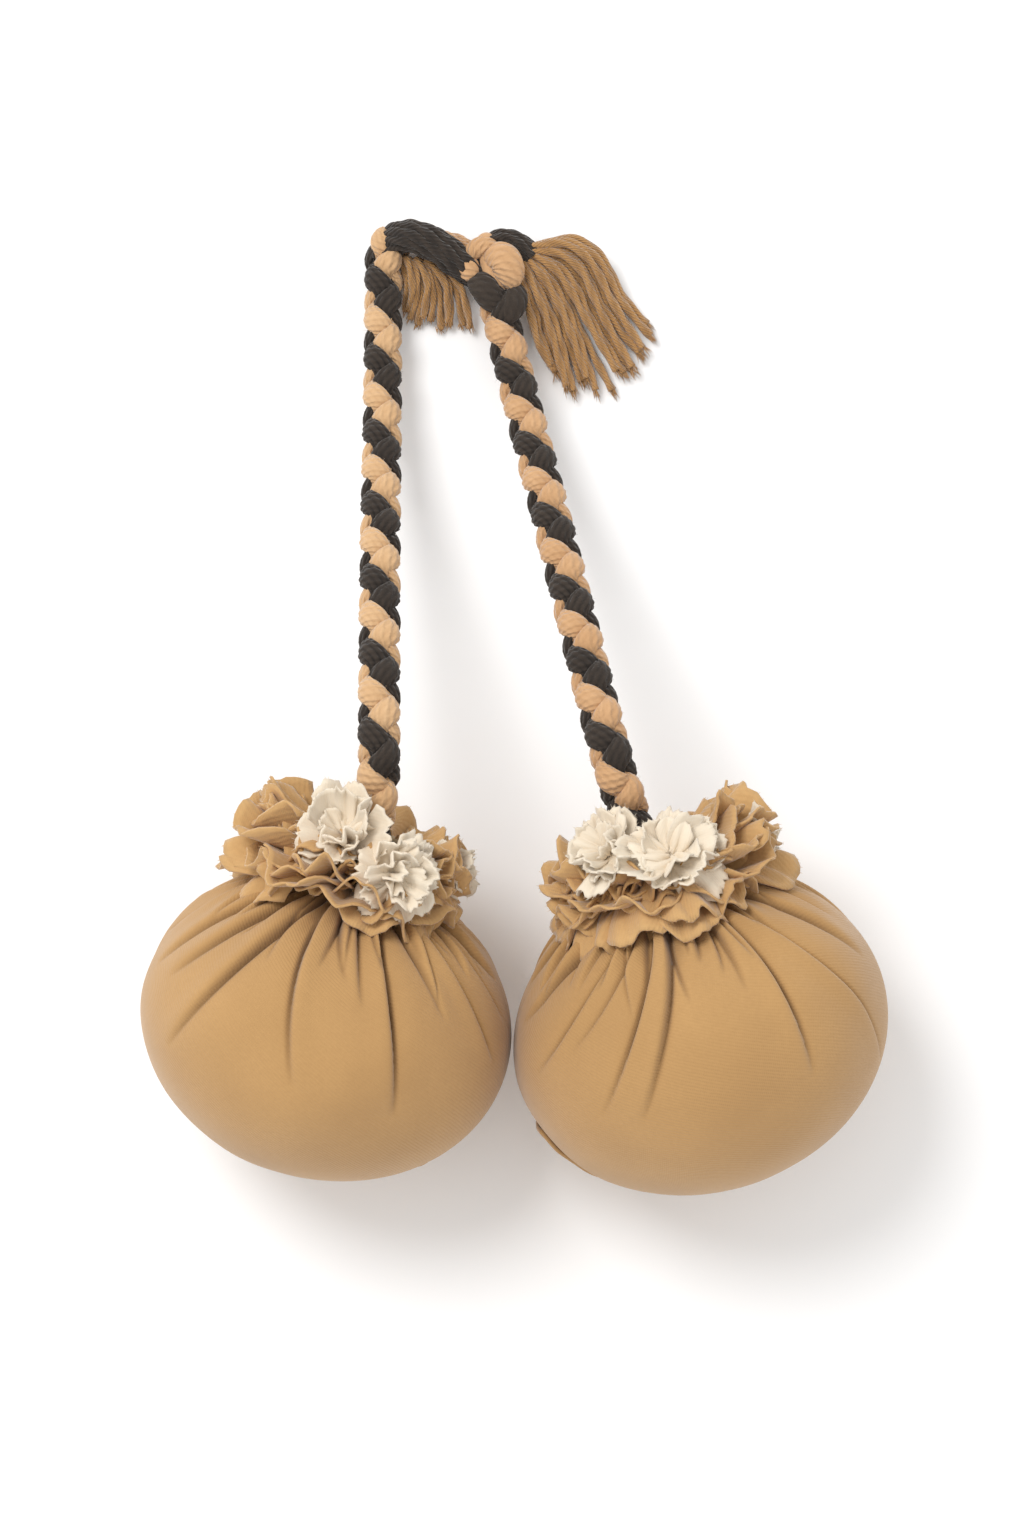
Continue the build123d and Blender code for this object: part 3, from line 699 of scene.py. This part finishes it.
def braid(name, points, start, lay, slant, light, seed, closed):
    # four-strand round braid: two strands wind each way and change places at four columns.
    # start is the first point's y, or how far the piece before it had run over the table
    line, s = resample(points, 0.62)
    right, upward = frames(line)
    over = start + np.concatenate([[0], np.cumsum(np.hypot(*np.diff(line[:, :2], axis=0).T))])
    y = start + (over - start) * slant
    n = lay[0] + lay[1] * y + lay[2] * y ** 2
    size = 1.0 - 0.07 * np.clip((over + 35) / 160, 0, 1)
    if closed:
        size = size * (0.5 + 0.5 * np.sqrt(np.clip((s[-1] - s) / 3.5, 0, 1)))
    # which way it winds, where it starts, and whether it is dark
    strands = [(-1, 0.0, True), (1, math.pi, True), (-1, math.pi, False), (1, 0.0, False)]
    mesh, fuzz = Mesh(), Mesh()
    rng = np.random.default_rng(seed)
    face_material, fuzz_material = [], []
    for sense, first, dark in strands:
        theta = sense * 2 * math.pi * n + first
        swell = sense * -1 * np.cos(2 * theta)
        rho = (2.34 + 1.64 * swell) * size
        view = theta - math.pi / 4
        outward = upward * np.cos(view)[:, None] + right * np.sin(view)[:, None]
        centre = line + outward * rho[:, None]
        tangent = unit(np.gradient(centre, axis=0))
        radial = unit(outward - tangent * np.sum(outward * tangent, 1, keepdims=True))
        around = np.cross(tangent, radial)
        run = arc_lengths(centre) + 1.2 * (over[0] + 60)
        lane = BRAID_YARNS * (around_section(BRAID_SIDES) + sense * 0.11 * run[:, None]) / 2
        flute = (0.42 if dark else 0.32) * (np.abs(np.sin(lane)) ** 0.75 - 1)
        fat = size[:, None] * (1 + 0.05 * swell[:, None])
        # painted shade: in the grooves between the yarns, and on the inner side where the strand passes under
        # the others
        groove_shade = (1 - np.abs(np.sin(lane)) ** 0.6) * (0.8 if dark else 0.14)
        inner = np.clip(0.5 - 0.6 * swell, 0, 1)[:, None] * 0.35
        before = len(mesh.f)
        tube(mesh, centre, radial, around, STRAND_THICK * fat + flute, STRAND_WIDE * fat + flute,
             BRAID_SIDES, run, np.clip(groove_shade + inner, 0, 1))
        face_material += [0 if dark else 1] * (len(mesh.f) - before)
        count = int(len(centre) * (1.0 if dark else 1.7))
        for _ in range(count):
            i = rng.integers(0, len(centre))
            angle = rng.uniform(-1.9, 1.9)
            out, along_side = radial[i] * math.cos(angle), around[i] * math.sin(angle)
            spot = centre[i] + (out * 2.05 + along_side * 3.1) * size[i]
            direction = out + along_side + 0.9 * rng.normal(size=3)
            fibre(fuzz, spot, direction, rng.uniform(0.5, 1.2), rng, radius=0.028, bend=0.6)
        fuzz_material += [0 if dark else 1] * (count * 6)
    obj = mesh.build(name, [DARK, light])
    obj.data.polygons.foreach_set("material_index", face_material)
    hair = fuzz.build(name + "_fuzz", [DARK, light])
    hair.data.polygons.foreach_set("material_index", fuzz_material)
    join(obj, hair)
    return obj, line, over[-1]


LEFT_ROUTE = [along(LEFT, 46), along(LEFT, 62), (-34.85, -16.6, 72.7), (-35.65, 30.5, 46.5),
              (-36.05, 76.5, 14.6), (-36.15, 116.0, 6.4), (-36.1, 124.0, 7.2), (-34.2, 128.0, 7.6)]
RIGHT_ROUTE = [along(RIGHT, 46), along(RIGHT, 62), (23.75, -20.7, 73.5), (12.75, 30.5, 46.5),
               (3.15, 74.5, 16.0), (-3.55, 103.0, 9.2), (-5.2, 110.5, 10.2)]
# the left cord is two pieces, parted this far along it
LEFT_PART = 96.0
left_line = nurbs_points(LEFT_ROUTE)
right_line = nurbs_points(RIGHT_ROUTE)
cut = int(np.searchsorted(arc_lengths(left_line), LEFT_PART))
low_cord, low_line, reached = braid("left_cord_low_braid", left_line[:cut + 1], left_line[0, 1],
                                    LEFT_LAY, 1.0, TAN_L, 51, False)
high_cord, high_line, _ = braid("left_cord_high_braid", left_line[cut:], reached,
                                LEFT_LAY, 1.0, TAN_L, 52, True)
right_cord, right_path, _ = braid("right_cord_braid", right_line, right_line[0, 1],
                                  RIGHT_LAY, RIGHT_SLANT, TAN_R, 53, False)


def blend_at(obj, spot):
    spot = np.asarray(spot, float)
    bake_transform(obj)


blend_at(low_cord, along(LEFT, 59))
blend_at(right_cord, along(RIGHT, 59))
blend_at(high_cord, (-36.15, 116.0, 6.4))
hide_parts("left_cord_root")
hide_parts("left_cord")
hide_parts("right_cord_root", "right_cord")


# ---- knot ----------------------------------------------------------------------------------
LOBE_YARNS, LOBE_SIDES = 9, 54
CORE_SIDES = 14


def yarn(mesh, points, radius, rng, sides=12, lobes=3, lay=0.9, painted_shade=0.55):
    # one plied yarn: a lobed section that turns along its length
    line, s = resample(points, 0.55)
    e1, e2 = carried_frames(line, (0.2, 0.3, 1.0))
    turn0 = rng.uniform(0, 6)
    phase = lobes * (around_section(sides) - lay * s[:, None] / radius * 0.55 + turn0)
    r = radius * (0.93 + 0.13 * np.cos(phase))
    # painted shade in the grooves between the plies, where the section is thinnest
    tube(mesh, line, e1, e2, r, r, sides, s, np.clip(painted_shade * (0.5 - 0.5 * np.cos(phase)) ** 1.5, 0, 1))
    return line


def bundle(mesh, path, reach, count, yarn_r, twist, rng):
    # yarns laid side by side round a core, turning slowly with it; the core is painted in heavy shade,
    # filling the gaps between the yarns
    line, s = resample(path, 0.6)
    e1, e2 = carried_frames(line, (0.0, 0.1, 1.0))
    for k in range(count):
        a = 2 * math.pi * k / count + twist * s
        wander = 1 + 0.05 * np.sin(s * 0.5 + k)
        offset = e1 * (reach * np.cos(a) * wander)[:, None] + e2 * (reach * np.sin(a) * wander)[:, None]
        yarn(mesh, line + offset, yarn_r, rng, sides=10)
    # the core: a tube painted almost fully in shade, seen only between the yarns
    core = resample(path, 1.2)[0]
    e1, e2 = carried_frames(core, (0.0, 0.1, 1.0))
    tube(mesh, core, e1, e2, reach, reach, CORE_SIDES, arc_lengths(core), 0.8)


def lobe(mesh, path, wide, thick):
    # one plump turn of a strand, drawn in at both ends
    line, s = resample(path, 0.5)
    right, upward = frames(line)
    taper = np.sin(math.pi * np.clip(s / s[-1], 0.02, 0.98))[:, None] ** 0.4
    lane = LOBE_YARNS * (around_section(LOBE_SIDES) + 0.13 * s[:, None]) / 2
    flute = 0.42 * (np.abs(np.sin(lane)) ** 0.75 - 1) * taper
    # painted shade in the grooves between the yarns
    tube(mesh, line, upward, right, thick * taper + flute, wide * taper + flute, LOBE_SIDES, s,
         (1 - np.abs(np.sin(lane)) ** 0.6) * 0.2)


def piece(name, mesh, material, body, node):
    obj = mesh.build(name, [material])
    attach(obj, body)
    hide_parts(node)


rng = np.random.default_rng(77)
mesh = Mesh()
bundle(mesh, nurbs_points([(-36.0, 121.5, 5.6), (-34.6, 126.0, 7.5), (-28.5, 126.9, 13.0),
                           (-20.3, 122.8, 13.6), (-14.5, 118.6, 10.8), (-10.0, 116.5, 8.0),
                           (-7.0, 115.0, 7.0)]), 3.2, 9, 1.55, 0.055, rng)
piece("knot_arch_dark", mesh, DARK, "knot", "knot_loop_dark")
mesh = Mesh()
bundle(mesh, nurbs_points([(-34.0, 122.0, 4.6), (-30.0, 127.5, 4.8), (-23.0, 127.0, 6.0),
                           (-17.0, 125.2, 7.8), (-12.8, 122.6, 9.0), (-9.5, 120.0, 9.5)]),
       2.0, 6, 1.3, 0.07, rng)
piece("knot_arch_light", mesh, TAN_R, "knot", "knot_loop_light")
mesh = Mesh()
lobe(mesh, nurbs_points([(-14.4, 121.4, 10.5), (-13.8, 117.8, 12.8), (-10.4, 114.4, 12.0)]), 3.4, 2.9)
lobe(mesh, nurbs_points([(-12.6, 119.5, 12.0), (-10.5, 124.8, 13.6), (-4.5, 122.5, 13.5)]), 2.9, 2.6)
lobe(mesh, nurbs_points([(-8.4, 120.4, 12.5), (-4.2, 120.8, 15.2), (-1.0, 116.8, 15.0),
                         (-0.6, 111.5, 12.8)]), 4.6, 3.0)
piece("knot_wrap_light_lobes", mesh, TAN_R, "knot", "knot_wrap_light")
mesh = Mesh()
lobe(mesh, nurbs_points([(-11.8, 115.6, 11.0), (-9.0, 112.6, 13.6), (-6.6, 108.8, 13.6),
                         (-4.8, 105.2, 12.0)]), 4.0, 2.7)
lobe(mesh, nurbs_points([(1.0, 112.6, 11.5), (0.6, 108.6, 13.6), (-1.2, 105.0, 13.4),
                         (-3.8, 102.2, 11.6)]), 3.7, 2.6)
piece("knot_wrap_dark_lobes", mesh, DARK, "knot", "knot_wrap_dark")
mesh = Mesh()
bundle(mesh, nurbs_points([(-10.0, 121.0, 9.0), (-6.6, 124.4, 11.0), (-1.6, 125.6, 12.3),
                           (2.4, 123.6, 11.6), (4.8, 121.4, 10.6)]), 2.1, 7, 1.25, 0.06, rng)
piece("tassel_root_yarns", mesh, DARK, "knot", "tassel_root_dark")


# ---- tassels -------------------------------------------------------------------------------
def between(a, b, u):
    return np.asarray(a, float) * (1 - u) + np.asarray(b, float) * u


def along_list(ends, u):
    x = u * (len(ends) - 1)
    i = min(int(x), len(ends) - 2)
    return between(ends[i], ends[i + 1], x - i)


def frayed_end(mesh, line, rng, count=15, length=(2.0, 4.2)):
    tip, ahead = line[-1], unit(line[-1] - line[-4])
    for _ in range(count):
        direction = ahead + 0.2 * rng.normal(size=3) * np.array([1, 1, 0.3])
        start = tip + rng.normal(size=3) * 0.5 - ahead * 0.8
        start[2] = max(start[2], 0.4)
        direction[2] = max(direction[2], -0.05)
        fibre(mesh, start, direction, rng.uniform(*length), rng, radius=0.17, bend=0.16)


def tassel_yarn(mesh, route, radius, rng):
    return yarn(mesh, nurbs_points(route, 10), radius, rng, sides=12, lobes=2, lay=0.8, painted_shade=0.28)


# the right tassel arches out of the knot and falls to the table; the yarns lie in three layers
RIGHT_TIPS = [(37.0, 105.8, 1.5), (35.8, 98.5, 1.5), (34.6, 94.0, 1.5), (31.5, 90.5, 1.5),
              (28.0, 88.0, 1.5), (21.5, 86.8, 1.5), (17.0, 86.2, 1.5), (13.2, 89.6, 1.5),
              (10.0, 93.5, 1.5)]
RIGHT_COUNT = 18
mesh = Mesh()
for k in range(RIGHT_COUNT):
    u = k / (RIGHT_COUNT - 1)
    layer = (k * 7) % 3
    tip = along_list(RIGHT_TIPS, u)
    tip = tip + np.array([rng.uniform(-1.2, 1.2), rng.uniform(-2.4, 2.0), 0.3 + 1.2 * layer * (1 - u * 0.4)])
    root = between((4.4, 123.2, 11.6), (2.4, 118.4, 9.5), u)
    root = root + np.array([0, 0.5 * (layer - 1), 1.0 * (layer - 1)])
    crest = between((14.5, 127.4, 12.6), (1.6, 113.2, 9.0), u ** 0.9) + np.array([0, 0, 0.9 * layer])
    shoulder = between((25.0, 122.0, 8.6), (3.6, 105.5, 6.4), u)
    shoulder = shoulder + np.array([rng.uniform(-1, 1), rng.uniform(-1, 1), 1.3 * layer])
    fall = between((30.5, 110.0, 4.0), (6.4, 97.6, 3.2), u)
    fall = fall + np.array([rng.uniform(-0.8, 0.8), 0, 1.2 * layer])
    frayed_end(mesh, tassel_yarn(mesh, [root, crest, shoulder, fall, tip], 1.2, rng), rng)
piece("right_tassel_yarns", mesh, CARAMEL, "knot", "right_tassel")

# the left tassel is shorter and comes out from under the loops
LEFT_TIPS = [(-29.6, 109.2, 1.5), (-28.0, 106.2, 1.5), (-25.0, 104.6, 1.5), (-20.8, 103.4, 1.5),
             (-17.2, 103.0, 1.5), (-12.6, 104.4, 1.5)]
LEFT_COUNT = 11
mesh = Mesh()
for k in range(LEFT_COUNT):
    u = k / (LEFT_COUNT - 1)
    layer = (k * 5) % 3
    tip = along_list(LEFT_TIPS, u)
    tip = tip + np.array([rng.uniform(-0.8, 0.8), rng.uniform(-1.8, 1.2), 0.8 * layer])
    root = np.array([-31.0 + 9.0 * u, 121.8 - 1.4 * u, 5.4 + 0.8 * layer])
    hip = np.array([-29.6 + 14.0 * u + rng.uniform(-0.6, 0.6), 117.5 - 1.5 * u, 5.6 + 0.9 * layer])
    fall = between(tip, hip, 0.35) + np.array([0.8 - 0.4 * u, 0, 1.2 + 0.6 * layer])
    frayed_end(mesh, tassel_yarn(mesh, [root, hip, fall, tip], 1.1, rng), rng, 10, (1.2, 2.8))
piece("left_tassel_yarns", mesh, CARAMEL, "knot", "left_tassel")

# ---- stage and light -----------------------------------------------------------------------
floor_mesh = bpy.data.meshes.new("floor")
floor_mesh.from_pydata([(-4, -4, 0), (4, -4, 0), (4, 4, 0), (-4, 4, 0)], [], [(0, 1, 2, 3)])
floor = bpy.data.objects.new("floor", floor_mesh)
bpy.context.scene.collection.objects.link(floor)
paper = Nodes("floor")
paper.shader.inputs["Base Color"].default_value = (0.93, 0.93, 0.93, 1)
paper.shader.inputs["Roughness"].default_value = 1.0
paper.shader.inputs["Specular IOR Level"].default_value = 0.0
floor_mesh.materials.append(paper.material)

world = bpy.data.worlds.new("studio")
world.use_nodes = True
world.node_tree.nodes["Background"].inputs[0].default_value = (1, 1, 1, 1)
world.node_tree.nodes["Background"].inputs[1].default_value = 0.92
bpy.context.scene.world = world


def lamp(name, spot, size, power, aim=(0, 0, 0.02)):
    data = bpy.data.lights.new(name, "AREA")
    data.shape = "DISK"
    data.size = size
    data.energy = power
    obj = bpy.data.objects.new(name, data)
    bpy.context.scene.collection.objects.link(obj)
    obj.location = spot
    obj.rotation_euler = (Vector(spot) - Vector(aim)).to_track_quat("Z", "Y").to_euler()


lamp("key", (-0.6, 0.5, 1.4), 0.7, 14.0)

bpy.context.scene.view_settings.view_transform = "Standard"
bpy.context.scene.view_settings.look = "None"
